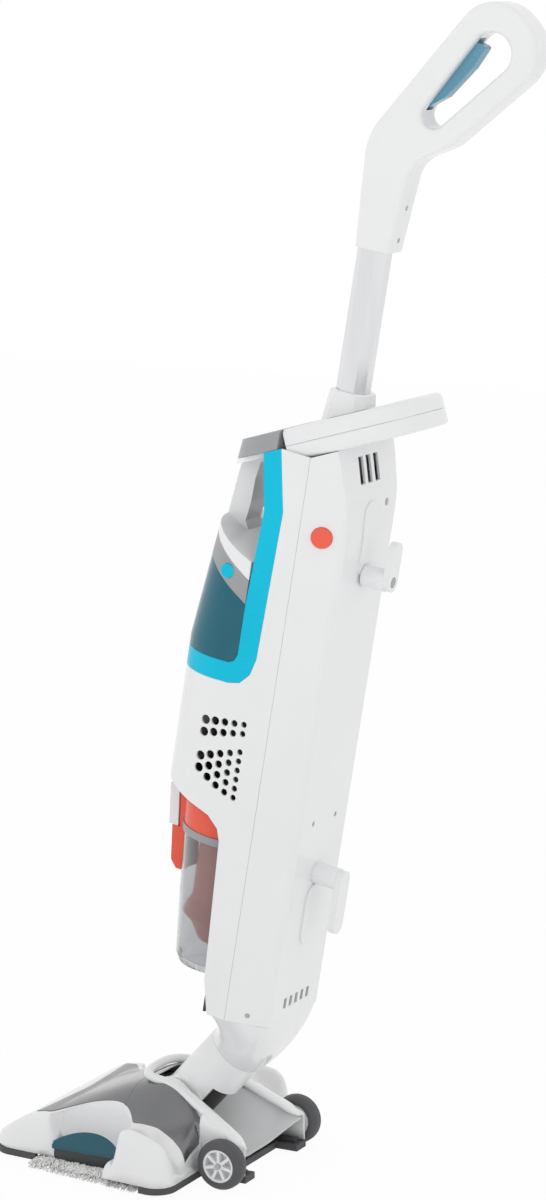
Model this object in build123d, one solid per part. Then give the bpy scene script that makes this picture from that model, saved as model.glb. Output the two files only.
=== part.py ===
from build123d import *
import math
import os

# Upright vacuum and steam mop. Millimetres, +Z up, the machine's front is -Y and its left side +X.
# The origin is the middle of the mop pad's sole on the floor. The body and the neck have axes of their
# own: v runs to the rear and w up along the part.

# Driving dimensions: stance
lean_angle = 9.5          # the parked body leans back by this much
neck_angle = 42.0         # the neck leans back from the vertical
axle_y = 134.0            # wheel axle, behind the middle of the pad
hinge_y = 54.0            # tilt hinge of the neck
hinge_z = 59.0
neck_length = 80.0        # tilt hinge to the swivel face
body_y = 39.0             # foot of the body's own axes
body_z = 62.0

# Driving dimensions: fits
gap = 0.3                 # parting gap between neighbouring mouldings
run_gap = 0.05            # radial clearance of a running pin
wall = 2.6                # moulded wall
far = 400.0               # reach of a cutting block

# Driving dimensions: body section
half_width = 70.0
front_v = -48.0
front_radius = 55.0
seam_v = 72.0             # side seam between front casing and rear cover
rear_v = 114.0
rear_half = 54.0
rear_round = 9.0
body_foot_w = 122.0
belt_bottom_w = 343.0     # front belt over the dust cup
frame_bottom_w = 460.0
frame_rail = 20.0         # width of the coloured tank frame
tank_back_v = 27.0
slope_start_w = 490.0     # the front leans back above this height
slope_back = 28.0
shoulder = 36.0           # the rear leans forward by this much at its top

# Driving dimensions: deck, tube and handle
deck_front_v = 36.0
deck_front_w = 717.0
deck_rise = 25.0
deck_length = 130.0
deck_thick = 32.0
deck_half = 67.0
deck_taper = 13.0         # the deck is narrower at its rear by this much a side
deck_round = 44.0
cap_thick = 17.0
tube_v = 73.0
tube_depth = 31.0
tube_width = 29.0
tube_corner = 8.0
tube_wall = 1.8
tube_foot_w = 690.0
tube_head_w = 950.0
collar_top_w = 757.0
handle_foot_w = 897.0
handle_half = 17.0
grip_round = 5.0
rear_bar = 33.0           # slot axis to the rear edge of the handle
loop_ease = 7.0
loop_v = 166.0
loop_w = 1101.0
loop_radius = 47.0
slot_radius = 20.0
slot_foot_v = 118.0
slot_foot_w = 1034.0
slot_foot_radius = 12.0
trigger_half = 7.0
trigger_swing = 5.0       # pull of the trigger, in degrees

# Driving dimensions: dust cup
cup_v = 20.0
cup_radius = 56.0
cup_foot_radius = 41.0
cup_foot_w = 146.0
cup_top_w = 335.0
cup_wall = 2.2
cup_band_w = 287.0
cup_band = 8.0
cyclone_radius = 34.0
cyclone_bulge_w = 202.0   # widest place of the cyclone
grip_low = 239.0          # front grip of the cup
press_low = 283.0         # release plate in the grip
press_high = 325.0

# Driving dimensions: floor head
sole_z = 9.0              # top of the pad, underside of the base plate
base_thick = 4.0
head_front_y = -128.0
head_front_half = 97.0
head_cove_half = 103.0    # at the front end of the coves
head_dome_half = 136.0    # at their rear end
head_rear_half = 143.0
head_flank_y = 102.0      # rear of the wide part, just ahead of the wheels
head_tail_y = 152.0
head_tail_half = 66.0
tail_gap_half = 46.0      # the tail is cut back between the wheels, to this line
tail_lip_y = 128.0
corner_radius = 26.0
flank_round = 22.0
nose_z = 17.0
crest_y = -86.0
crest_z = 46.0
flank_z = 53.0
hump_y = 49.0
hump_z = 92.0
tail_z = 39.0
dome_y = 68.0
dome_x = 116.0
dome_radius = 27.0
dome_z = 61.0
cove_x = 105.0
cove_z = 88.0
cove_radius = 48.0
cove_y = -10.0
cove_half = 47.0
notch_x = 90.0
notch_half = 38.0
wheel_radius = 25.5
wheel_width = 18.0
wheel_x = 82.0
tyre_round = 7.0
hub_radius = 17.0
hub_spokes = 7
axle_radius = 3.0
neck_radius = 30.0
neck_bore = 25.0
knuckle_half = 30.0
pin_radius = 6.0
pad_front_y = -70.0
pad_rear_y = 70.0
pad_front_half = 119.0
pad_rear_half = 136.0
panel_thick = 1.8

# Driving dimensions: small hardware
screw_radius = 2.5
screw_length = 6.7
seat_gap = 0.1            # between pieces that rest on one another

BODY = Location((0, body_y, body_z), (-lean_angle, 0, 0))
NECK = Location((0, hinge_y, hinge_z), (-neck_angle, 0, 0))
nodes = {}


def slab(points, half):
    """A side outline, to the rear and up, carried across to both sides."""
    return extrude(Plane.YZ * make_face(Polyline(*points, close=True)), amount=half, both=True)


def block(x0, x1, y0, y1, z0, z1):
    """A box between two corners."""
    return Pos((x0 + x1) / 2, (y0 + y1) / 2, (z0 + z1) / 2) * Box(x1 - x0, y1 - y0, z1 - z0)


def rod_x(radius, x0, x1, v, w):
    """A round bar across the machine."""
    return Pos((x0 + x1) / 2, v, w) * Rot(0, 90, 0) * Cylinder(radius, x1 - x0)


def rod_v(radius, v0, v1, x, w):
    """A round bar from front to rear."""
    return Pos(x, (v0 + v1) / 2, w) * Rot(90, 0, 0) * Cylinder(radius, v1 - v0)


def rod_w(radius, w0, w1, x, v):
    """An upright round bar."""
    return Pos(x, v, (w0 + w1) / 2) * Cylinder(radius, w1 - w0)


def turned(points, v):
    """A solid turned about an upright axis, from (radius, height) points."""
    outline = make_face(Plane.XZ * Polyline(*points, close=True))
    return Pos(0, v, 0) * revolve(outline, Axis.Z)


def mirrored(shape):
    """The piece and its twin on the other side."""
    return Part(children=[shape, mirror(shape, Plane.YZ)])


def coil(radius, wire, turns, length):
    """A compression spring along Z from the origin."""
    path = Helix(pitch=length / turns, height=length, radius=radius)
    section = Plane(path @ 0, z_dir=path % 0) * Circle(wire)
    return sweep(section, path=path, is_frenet=True)


# Body section and its outer and inner forms
deck_slope = math.tan(math.radians(deck_rise))
deck_drop = deck_thick / math.cos(math.radians(deck_rise))
cap_drop = cap_thick / math.cos(math.radians(deck_rise))


def deck_top(v):
    return deck_front_w + (v - deck_front_v) * deck_slope


def under_deck(v):
    return deck_top(v) - deck_drop - gap


def under_cap(v):
    return deck_top(v) - cap_drop - gap


def front_shift(w):
    """How far the front has leaned back at a height."""
    return slope_back * max(0.0, w - slope_start_w) / (deck_front_w - slope_start_w)


def side_at(v, w):
    """Half width of the body's rounded front at a place."""
    ahead = min(0.0, v - front_v - front_radius - front_shift(w))
    return half_width - front_radius + math.sqrt(front_radius ** 2 - ahead ** 2)


def body_form(inset):
    """The whole body's outer form, inset all round: upright below, its front leaning back above."""
    a = half_width - inset
    r = rear_half - inset
    top = deck_top(rear_v)
    low = body_foot_w
    face = make_face(Polyline((-a, front_v + inset), (a, front_v + inset), (a, seam_v), (r, rear_v - inset),
                              (-r, rear_v - inset), (-a, seam_v), close=True))
    face = fillet(face.vertices().sort_by(Axis.Y)[:2], front_radius - inset)
    face = fillet(face.vertices().sort_by(Axis.Y)[-2:], rear_round)
    upright = Pos(0, 0, low) * extrude(face, amount=slope_start_w - low)
    back = Vector(0, slope_back, deck_front_w - slope_start_w).normalized()
    above = Pos(0, 0, slope_start_w) * extrude(face, amount=top - slope_start_w)
    above = above & Pos(0, 0, slope_start_w) * extrude(face, amount=far, dir=back)
    side = slab([(-far, low), (-far, top), (rear_v - shoulder - inset, top),
                 (rear_v - 0.39 * shoulder - inset, top - 58), (rear_v - 0.11 * shoulder - inset, top - 92),
                 (rear_v - inset, top - 130), (rear_v - inset, low)], far)
    return (upright + above) & side


outer = body_form(0)
inner = body_form(wall)
fitted = body_form(wall + gap)
shell = outer - inner

# Coloured tank frame: two uprights and a bottom band round the front
rail_outer = [(52, 640), (47.5, 491), (43, 474), (33, 463), (20, frame_bottom_w)]
frame_side = [(40, under_cap(40))] + rail_outer + [(-far, frame_bottom_w),
                                                   (-far, frame_bottom_w + frame_rail)]
frame_side += [(18, frame_bottom_w + frame_rail), (24, frame_bottom_w + frame_rail + 3),
               (tank_back_v, frame_bottom_w + frame_rail + 10), (tank_back_v, 538), (32, 635),
               (22, under_cap(22))]
nodes["tank_frame"] = BODY * (shell & slab(frame_side, far))

# Front casing: side walls, belt over the dust cup, wings beside the cup
wing = [(front_v + 12, belt_bottom_w), (-7, 333), (21, 323), (33, 312), (37, 300), (44, 157),
        (52, body_foot_w)]
casing_side = [(seam_v, under_deck(seam_v)), (40 + gap, under_cap(40))]
casing_side += [(v + gap, w - gap) for v, w in rail_outer]
casing_side += [(-far, frame_bottom_w - gap), (-far, belt_bottom_w)] + wing + [(seam_v, body_foot_w)]
front_casing = shell & slab(casing_side, far)

# Side vents: a perforated panel let into each side of the belt
vent_side = [(-11, 430), (50, 437), (51, 337), (-4, 359)]
vent_skin = outer - body_form(1.4)
vent_pocket = outer - body_form(1.4 + gap / 2)
vent_panel = vent_skin & slab(vent_side, far)
vent_rows = [5, 5, 0, 5, 5, 4, 3, 2, 1]
vent_columns = max(vent_rows)
vent_pitch_v = 10.5
vent_pitch_w = 9.4
vent_top_w = 423.0
vent_fan = 0.31           # the rows spread apart to the front by this share
vent_holes = []
for row, count in enumerate(vent_rows):
    for column in range(vent_columns - count, vent_columns):
        ahead = 1 - column / (vent_columns - 1)
        hole_w = vent_top_w - 5.7 * ahead - vent_pitch_w * (1 + vent_fan * ahead) * row
        vent_holes.append(rod_x(3.1 + 1.6 * ahead, -far, far, 3 + vent_pitch_v * column, hole_w))
vent_cut = Part(children=vent_holes)
front_casing = front_casing - (vent_pocket & slab(vent_side, far)) - vent_cut
nodes["front_casing"] = BODY * front_casing
nodes["vent_panels"] = BODY * (vent_panel - vent_cut)

# Rear cover with its raised ovals, slots, cord inlet, screw holes and the guide of the power button
hook_w = 582.0
low_hook_w = 274.0
hook_pin_radius = 3.0
button_w = 623.0
button_radius = 10.4
button_depth = 6.0
guide_depth = 16.0
guide_floor = 1.2
facet = Plane(origin=((half_width + rear_half) / 2, (seam_v + rear_v) / 2, button_w),
              x_dir=(0, 0, 1), z_dir=(rear_v - seam_v, half_width - rear_half, 0))
cover_side = [(seam_v + gap, body_foot_w), (far, body_foot_w), (far, under_deck(far)),
              (seam_v + gap, under_deck(seam_v + gap))]
oval_rise = 1.6
oval_width = 30.0
rear_cover = shell
oval_skin = body_form(-oval_rise) - inner
for oval_w, oval_length in ((hook_w + 36, 45), (low_hook_w - 44, 34)):
    oval = Plane.XZ * SlotCenterToCenter(oval_length, oval_width, rotation=90)
    rear_cover = rear_cover + (oval_skin & Pos(0, 0, oval_w) * extrude(oval, amount=-far))
rear_cover = rear_cover & slab(cover_side, far)
guide_top = -wall / 2
guide = Pos(0, 0, guide_top - guide_depth / 2) * Cylinder(button_radius + 2.4, guide_depth)
guide_room = Pos(0, 0, guide_top - guide_depth / 2 + guide_floor) * Cylinder(button_radius + gap,
                                                                             guide_depth)
rear_cover = rear_cover + facet * guide - facet * guide_room
rear_cover = rear_cover - facet * Cylinder(button_radius + gap, 2 * wall)
inlet_x = -34.0
inlet_w = 650.0
inlet_radius = 4.0
inlet_sleeve = rod_v(inlet_radius + 3, rear_v - 12, rear_v - 4, inlet_x, inlet_w)
rear_cover = rear_cover + inlet_sleeve
rear_cover = rear_cover - rod_v(inlet_radius, rear_v - 13, far, inlet_x, inlet_w)
slot_high = under_deck(rear_v - shoulder) - 2
slot_height = 26.0
for x in (-16, 0, 16):
    rear_cover = rear_cover - block(x - 5, x + 5, rear_v - shoulder, far, slot_high - slot_height,
                                    slot_high)
for x in (-24, -12, 0, 12, 24):
    rear_cover = rear_cover - block(x - 3, x + 3, rear_v - 10, far, body_foot_w + 13, body_foot_w + 24)
screw_x = 24.0
screw_w = 330.0
foot_screw_w = body_foot_w + 9
screw_sink = 0.6
screw_end = rear_v - screw_sink
screw_hole = rod_v(screw_radius + seat_gap, rear_v - 10, far, screw_x, screw_w)
screw_hole = screw_hole + facet * (Pos(foot_screw_w - button_w, 0, 0) * Cylinder(screw_radius + seat_gap,
                                                                                 3 * wall))
rear_cover = rear_cover - screw_hole - mirror(screw_hole, Plane.YZ)
rear_cover = rear_cover - rod_v(hook_pin_radius + run_gap, rear_v - 10, far, 0, hook_w)
nodes["rear_cover"] = BODY * rear_cover
rear_screw = rod_v(screw_radius, screw_end - screw_length, screw_end, screw_x, screw_w)
foot_screw = Pos(foot_screw_w - button_w, 0, -screw_sink - screw_length / 2) * Cylinder(screw_radius,
                                                                                        screw_length)
case_screws = []
for screw in (rear_screw, facet * foot_screw):
    case_screws += [screw, mirror(screw, Plane.YZ)]

# Power button on the left facet and its spring
button = facet * (Pos(0, 0, 1 - button_depth / 2) * Cylinder(button_radius, button_depth + 2))
button = fillet(button.edges().sort_by(Axis.X)[-1:], 1.0)
nodes["power_button"] = BODY * button
spring_wire = 0.45
spring_foot = guide_top - guide_depth + guide_floor + spring_wire + seat_gap
spring_length = -button_depth - spring_wire - seat_gap - spring_foot
nodes["button_spring"] = BODY * (facet * (Pos(0, 0, spring_foot) * coil(5.5, spring_wire, 4, spring_length)))

# Cord hooks on the rear
hook_out = 26.0
hook_thick = 7.0
stem_radius = 11.0


def hook(reach, stand):
    """A stem from the rear and a paddle along it, in body axes about the stem's own axis."""
    stem = rod_v(stem_radius, rear_v + stand, rear_v + hook_out, 0, 0)
    blade = extrude(Plane.XZ * SlotCenterToCenter(abs(reach), 20, rotation=90), amount=-hook_thick)
    return stem + Pos(0, rear_v + hook_out - seat_gap, reach / 2) * blade


head_seat = rear_v + hook_out + hook_thick - 3
upper_hook = hook(30, 2) - rod_v(hook_pin_radius + run_gap, 0, far, 0, 0) - rod_v(5.4, head_seat, far, 0, 0)
nodes["cord_hook_upper"] = BODY * (Pos(0, 0, hook_w) * upper_hook)
hook_screw = rod_v(hook_pin_radius, rear_v - 12, head_seat + seat_gap, 0, hook_w)
hook_screw = hook_screw + rod_v(5, head_seat + seat_gap, rear_v + hook_out + hook_thick, 0, hook_w)
nodes["hook_screw"] = BODY * hook_screw
nodes["cord_hook_lower"] = BODY * (Pos(0, 0, low_hook_w) * hook(-46, seat_gap))

# Carrying deck in two shells, with a finger opening behind the tube
DECK = Plane(origin=(0, deck_front_v, deck_front_w), x_dir=(1, 0, 0),
             z_dir=(0, -math.sin(math.radians(deck_rise)), math.cos(math.radians(deck_rise))))
deck_outline = make_face(Polyline((-deck_half, gap), (deck_half, gap), (deck_half - deck_taper, deck_length),
                                  (deck_taper - deck_half, deck_length), close=True))
deck_outline = fillet(deck_outline.vertices().sort_by(Axis.Y)[-2:], deck_round)
finger_length = 30.0
finger_bar = 14.0         # what the hand holds, behind the finger opening
finger = fillet(Rectangle(64, finger_length).vertices(), 13)
finger_y = deck_length - finger_bar - finger_length / 2
deck_face = deck_outline - Pos(0, finger_y) * finger
deck_split = deck_thick / 2


def tube_outline(grow):
    face = Rectangle(tube_width + 2 * grow, tube_depth + 2 * grow)
    return chamfer(face.vertices(), tube_corner)


tube_hole = Pos(0, tube_v, 600) * extrude(tube_outline(gap), amount=far)
deck_pocket = offset(deck_face, amount=-wall)
upper = Pos(0, 0, -deck_split) * extrude(deck_face, amount=deck_split)
upper = fillet(upper.edges().group_by(Axis.Z)[-1].sort_by(Axis.Y)[1:], 6.0)
upper = upper - Pos(0, 0, -deck_split) * extrude(deck_pocket, amount=deck_split - wall)
nodes["deck_upper"] = BODY * (DECK * upper - tube_hole)
lower = Pos(0, 0, -deck_thick) * extrude(deck_face, amount=deck_thick - deck_split - gap)
lower = fillet(lower.edges().group_by(Axis.Z)[0].sort_by(Axis.Y)[1:], 4.0)
lower = lower - Pos(0, 0, -deck_thick + wall) * extrude(deck_pocket, amount=deck_split)
nodes["deck_lower"] = BODY * (DECK * lower - tube_hole)

# Grey cap over the tank, in line with the deck
cap_side = [(-far, deck_top(-far)), (deck_front_v - gap, deck_top(deck_front_v - gap)),
            (deck_front_v - gap, deck_top(deck_front_v) - cap_drop), (-far, deck_top(-far) - cap_drop)]
nodes["tank_cap"] = BODY * (outer & slab(cap_side, far))

# Tube, its collar on the deck and its socket below
tube = Pos(0, tube_v, tube_foot_w) * extrude(tube_outline(0) - tube_outline(-tube_wall),
                                             amount=tube_head_w - tube_foot_w)
nodes["handle_tube"] = BODY * tube
collar_foot_w = deck_top(tube_v) - 20
collar = loft([Pos(0, tube_v, collar_foot_w) * tube_outline(8.0),
               Pos(0, tube_v, collar_top_w) * tube_outline(4.0)])
collar = fillet(collar.edges().group_by(Axis.Z)[-1], 2.0)
collar = collar - tube_hole - slab([(-far, deck_top(-far) + gap), (far, deck_top(far) + gap), (far, 0),
                                    (-far, 0)], far)
nodes["tube_collar"] = BODY * collar
socket = Pos(0, tube_v, tube_foot_w - 30) * extrude(tube_outline(4.0), amount=30 + 12)
socket = socket - Pos(0, tube_v, tube_foot_w - gap) * extrude(tube_outline(gap), amount=far)
socket = socket & slab([(0, 0), (far, 0), (far, under_deck(far)), (0, under_deck(0))], far)
nodes["tube_socket"] = BODY * socket

# Handle: a loop with a trigger on the inside of its front bar, moulded in two halves
loop_span = math.hypot(loop_v - slot_foot_v, loop_w - slot_foot_w)
loop_angle = math.atan2(loop_w - slot_foot_w, loop_v - slot_foot_v)


def loop_point(along, across):
    """A point beside the loop's axis: along it from the slot's foot, and across it to the front."""
    return (slot_foot_v + along * math.cos(loop_angle) - across * math.sin(loop_angle),
            slot_foot_w + along * math.sin(loop_angle) + across * math.cos(loop_angle))


foot_front = tube_v - tube_depth / 2 + 0.5
foot_rear = tube_v + tube_depth / 2 + 6
handle_corners = [(foot_front, handle_foot_w), (foot_front - 6, 1003),
                  loop_point(loop_span + loop_radius, loop_radius),
                  loop_point(loop_span + loop_radius, -loop_radius), loop_point(-8, -rear_bar),
                  (foot_rear + 9, 986),
                  (foot_rear, handle_foot_w)]
handle_bends = [60, loop_radius - loop_ease, loop_radius - loop_ease, 40, 32]
handle_edge = FilletPolyline(*handle_corners, radius=handle_bends)
handle_face = make_face([handle_edge, Line(handle_corners[-1], handle_corners[0])])
tangent = math.acos((slot_foot_radius - slot_radius) / loop_span)


def slot_point(end, turn):
    v, w, r = (loop_v, loop_w, slot_radius) if end else (slot_foot_v, slot_foot_w, slot_foot_radius)
    return (v + r * math.cos(loop_angle + turn), w + r * math.sin(loop_angle + turn))


slot_edge = [ThreePointArc(slot_point(1, tangent), slot_point(1, 0), slot_point(1, -tangent)),
             Line(slot_point(1, -tangent), slot_point(0, -tangent)),
             ThreePointArc(slot_point(0, -tangent), slot_point(0, math.pi), slot_point(0, tangent)),
             Line(slot_point(0, tangent), slot_point(1, tangent))]
slot_face = make_face(slot_edge)


def across(face, x0, x1):
    """A side outline carried across the machine from one side to the other."""
    return Pos(x0, 0, 0) * extrude(Plane.YZ * face, amount=x1 - x0)


handle = across(handle_face - slot_face, gap / 4, handle_half)
handle_rim = [edge for edge in handle.faces().sort_by(Axis.X)[-1].edges()
              if edge.center().Z > handle_foot_w + 1]
handle = fillet(handle_rim, grip_round)
neck_pocket = [(foot_front + 6, tube_head_w + 15), (foot_front + 2, tube_head_w + 50), loop_point(-34, 30),
               loop_point(-20, 22), loop_point(-20, 0), loop_point(-24, -8),
               (foot_rear + 3, tube_head_w + 35),
               (foot_rear, tube_head_w + 15)]
rear_pocket = [loop_point(2, -slot_foot_radius - 6.5), loop_point(loop_span - 2, -slot_radius - 6.5),
               loop_point(loop_span - 2, -rear_bar - 2.5), loop_point(2, -rear_bar + 5.5)]
for pocket in (neck_pocket, rear_pocket):
    handle = handle - across(make_face(Polyline(*pocket, close=True)), 0, handle_half - wall)
tube_seat = Pos(0, tube_v, 0) * extrude(tube_outline(gap / 3), amount=tube_head_w + gap)
pivot_v, pivot_w = loop_point(-8, slot_foot_radius + 9)
trigger_front = slot_foot_radius + 12
trigger_corners = [loop_point(-14, slot_foot_radius + 4), loop_point(-12, trigger_front + 4),
                   loop_point(loop_span - 8, trigger_front + 4),
                   loop_point(loop_span - 2, slot_foot_radius - 2),
                   loop_point(loop_span - 26, slot_foot_radius - 6), loop_point(18, slot_foot_radius - 6)]
trigger_face = fillet(make_face(Polyline(*trigger_corners, close=True)).vertices(), 2.5)
trigger_pin_radius = 2.0


def swung(point):
    """A point of the trigger after a full pull about its pivot."""
    pull = math.radians(trigger_swing)
    v, w = point[0] - pivot_v, point[1] - pivot_w
    return (pivot_v + v * math.cos(pull) - w * math.sin(pull),
            pivot_w + v * math.sin(pull) + w * math.cos(pull))


well_corners = trigger_corners[:2] + [swung(point) for point in trigger_corners[2:4]] + trigger_corners[3:]
well_face = offset(make_face(Polyline(*well_corners, close=True)), amount=2.0)
trigger_well = across(well_face, 0, trigger_half + gap)
pin_half = handle_half - wall
pin_hole = rod_x(trigger_pin_radius + run_gap, 0, pin_half + gap, pivot_v, pivot_w)
handle = handle - trigger_well - pin_hole - tube_seat
screw_v = tube_v + tube_depth / 2 + seat_gap
for w in (handle_foot_w + 12, handle_foot_w + 44):
    handle = handle - rod_v(screw_radius + seat_gap, tube_v, far, 0, w)
    case_screws.append(rod_v(screw_radius, screw_v, screw_v + screw_length, 0, w))
nodes["handle_left"] = BODY * handle
nodes["handle_right"] = BODY * mirror(handle, Plane.YZ)
nodes["case_screws"] = BODY * Part(children=case_screws)
trigger_pin = rod_x(trigger_pin_radius, -pin_half, pin_half, pivot_v, pivot_w)
nodes["trigger"] = BODY * (across(trigger_face, -trigger_half, trigger_half) + trigger_pin)

# Clean water tank: teal shell, grey band, white top with its grip, button and front strip
tank_floor_w = frame_bottom_w + frame_rail + gap
band_front_w = 588.0
band_rear_w = 541.0
band_height = 24.0
tank_edge = tank_back_v - gap
tank_wall = 2.4


def tank_line(v, rise):
    """The slanting joint between tank and band, raised by some height."""
    share = (v - front_v) / (tank_back_v - front_v)
    return band_front_w + (band_rear_w - band_front_w) * share + rise


tank_side = [(-far, tank_floor_w), (18, tank_floor_w), (24 - gap, tank_floor_w + 3),
             (tank_edge, tank_floor_w + 10),
             (tank_edge, tank_line(tank_edge, 0)), (front_v, tank_line(front_v, 0)),
             (-far, tank_line(front_v, 0))]
tank_room = [(-far, tank_floor_w + tank_wall), (20, tank_floor_w + tank_wall),
             (tank_edge - tank_wall, tank_floor_w + 12),
             (tank_edge - tank_wall, tank_line(tank_edge, 1)), (front_v, tank_line(front_v, 1)),
             (-far, tank_line(front_v, 1))]
tank_void = body_form(tank_wall) & slab(tank_room, far)
nodes["water_tank"] = BODY * ((outer & slab(tank_side, far)) - tank_void)
band_side = [(-far, tank_line(front_v, gap / 3)), (front_v, tank_line(front_v, gap / 3)),
             (tank_edge, tank_line(tank_edge, gap / 3)), (tank_edge, tank_line(tank_edge, band_height)),
             (front_v, tank_line(front_v, band_height)), (-far, tank_line(front_v, band_height))]
band_void = body_form(tank_wall + 0.6) & slab([(-far, 400), (tank_edge - 3, 400), (tank_edge - 3, 700),
                                               (-far, 700)], far)
tank_band = (outer & slab(band_side, far)) - band_void
tank_button_v = 2.0
tank_button_w = tank_line(tank_button_v, band_height / 2)
tank_button_radius = 7.0
tank_band = tank_band - rod_x(tank_button_radius + gap, 0, far, tank_button_v, tank_button_w)
nodes["tank_band"] = BODY * tank_band
top_low = band_height + gap / 3
cover_plate = [(-far, tank_line(front_v, top_low)), (front_v, tank_line(front_v, top_low)),
               (tank_edge, tank_line(tank_edge, top_low)), (tank_edge, tank_line(tank_edge, top_low + 18)),
               (front_v, tank_line(front_v, top_low + 6)), (-far, tank_line(front_v, top_low + 6))]
grip_half = 16.0
grip_reach = front_v - 20
tank_grip_side = [(grip_reach, tank_line(front_v, top_low)), (front_v, tank_line(front_v, top_low)),
                  (10, tank_line(10, top_low)), (20, tank_line(20, top_low + 14)),
                  (4, tank_line(4, top_low + 14)),
                  (-8, tank_line(-8, top_low + 12)), (-13, 608), (-10, 628), (-9, 652), (-6, 668),
                  (2, under_cap(2) - 5), (20, under_cap(20) - 4), (20, under_cap(20)),
                  (grip_reach, under_cap(grip_reach))]
bridge_side = [(-far, under_cap(-far) - 5), (20, under_cap(20) - 5), (20, under_cap(20)),
               (-far, under_cap(-far))]
tank_top = (outer & slab(cover_plate, far)) + (outer & slab(tank_grip_side, grip_half))
tank_top = tank_top + (outer & slab(bridge_side, half_width - 12))
nodes["tank_top"] = BODY * tank_top
button_face = side_at(tank_button_v, tank_button_w) + 1.5
tank_button = rod_x(tank_button_radius, button_face - 10, button_face, tank_button_v, tank_button_w)
nodes["tank_button"] = BODY * tank_button
strip_stand = 0.05
strip_thick = 1.2
strip_skin = body_form(-strip_thick) - body_form(-strip_stand)
strip_half = 26.0
strip_low = tank_floor_w + 1
strip_high = tank_line(front_v, 0) - 1
strip = strip_skin & block(-strip_half, strip_half, -far, 0, strip_low, strip_high)
plate_low = strip_low + 0.24 * (strip_high - strip_low)
plate_high = strip_high - 0.28 * (strip_high - strip_low)
plate = block(-strip_half - 1, strip_half + 1, -far, 0, plate_low, plate_high)
nodes["tank_strip"] = BODY * (strip - plate)
nodes["tank_plate"] = BODY * (strip & block(-strip_half, strip_half, -far, 0, plate_low + gap,
                                            plate_high - gap))

# Cradle behind and below the tank, and what it carries inside
cradle_v = tank_back_v + 6
cradle_side = [(-far, tank_floor_w - gap - 3), (cradle_v + wall, tank_floor_w - gap - 3),
               (cradle_v + wall, under_deck(cradle_v + wall)), (cradle_v, under_deck(cradle_v)),
               (cradle_v, tank_floor_w - gap), (-far, tank_floor_w - gap)]
nodes["tank_cradle"] = BODY * (fitted & slab(cradle_side, far))
rack_v = cradle_v + wall + seat_gap
rack_w = tank_floor_w + 20
boiler_radius = 27.0
boiler_length = 140.0
nodes["boiler"] = BODY * rod_w(boiler_radius, rack_w, rack_w + boiler_length, -30, rack_v + boiler_radius)
pump_width = 38.0
pump_depth = 34.0
pump_height = 60.0
nodes["water_pump"] = BODY * block(8, 8 + pump_width, rack_v, rack_v + pump_depth, rack_w,
                                   rack_w + pump_height)
board_width = 52.0
board_height = 80.0
board_w = rack_w + pump_height + 15
nodes["circuit_board"] = BODY * block(6, 6 + board_width, rack_v, rack_v + 2, board_w,
                                      board_w + board_height)

# Motor in the belt: housing, rotor, impeller and its rubber seat on the cup's roof
roof_w = belt_bottom_w - 1.0
motor_v = 34.0
motor_radius = 48.0
motor_seat_w = roof_w + 2.5
motor_low = motor_seat_w + 6
motor_high = 446.0
seat = rod_w(motor_radius, motor_seat_w + 0.1, motor_low - 0.1, 0, motor_v)
nodes["motor_seat"] = BODY * (seat - rod_w(motor_radius - 10, 0, far * 2, 0, motor_v))
housing = rod_w(motor_radius, motor_low, motor_high, 0, motor_v)
housing = housing - rod_w(motor_radius - 3, motor_low + 3, motor_high - 3, 0, motor_v)
housing = housing - rod_w(16, motor_low - 1, motor_low + 4, 0, motor_v)
nodes["motor_housing"] = BODY * housing
core = rod_w(motor_radius - 3.1, motor_low + 28, motor_high - 3.1, 0, motor_v)
shaft_radius = 4.0
core_half = motor_radius - 8
core = core - rod_w(shaft_radius + run_gap, motor_low, motor_high - 12, 0, motor_v)
nodes["motor_core"] = BODY * (core & block(-core_half, core_half, -far, far, 0, far * 2))
impeller = rod_w(motor_radius - 6, motor_low + 6, motor_low + 9, 0, motor_v)
impeller = impeller + rod_w(shaft_radius, motor_low + 6, motor_high - 14, 0, motor_v)
blade_count = 9
for index in range(blade_count):
    turn = 360 / blade_count * index
    blade = block(9, motor_radius - 7, -1, 1, motor_low + 8.9, motor_low + 22)
    impeller = impeller + Pos(0, motor_v, 0) * Rot(0, 0, turn) * blade
nodes["impeller"] = BODY * impeller

# Bay behind the dust cup, and the suction duct behind it
bay_radius = cup_radius + 3
bay = rod_w(bay_radius + 2.5, body_foot_w + 1, roof_w, 0, cup_v) - rod_w(bay_radius, 0, far * 2, 0, cup_v)
bay = bay & block(-far, far, 46, far, 0, far * 2)
bay = bay + block(-far, far, 46, 48.5, body_foot_w + 1, roof_w) - rod_w(bay_radius, 0, far * 2, 0, cup_v)
bay = bay + (rod_w(far, roof_w, motor_seat_w, 0, 0) - rod_w(20, 0, far * 2, 0, motor_v))
ledge_v = cup_v + cup_foot_radius - 25
bay = bay + block(-30, 30, ledge_v, cup_v + bay_radius + 1, cup_foot_w - 5, cup_foot_w - seat_gap)
nodes["cup_bay"] = BODY * (bay & fitted)
duct_radius = 13.0
duct_wall = 1.8
duct_v = cup_v + bay_radius + 2.6 + duct_radius
duct_top = cup_band_w + 5
duct = rod_w(duct_radius, body_foot_w + 1, duct_top, 0, duct_v)
nodes["suction_duct"] = BODY * (duct - rod_w(duct_radius - duct_wall, 0, duct_top - duct_wall, 0, duct_v))

# Dust cup: clear cup, grey band, lid, cyclone, filter, front grip and release button
cup_slope = (cup_radius - cup_foot_radius) / (cup_top_w - cup_foot_w)


def cup_at(w):
    return cup_foot_radius + (w - cup_foot_w) * cup_slope


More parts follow.
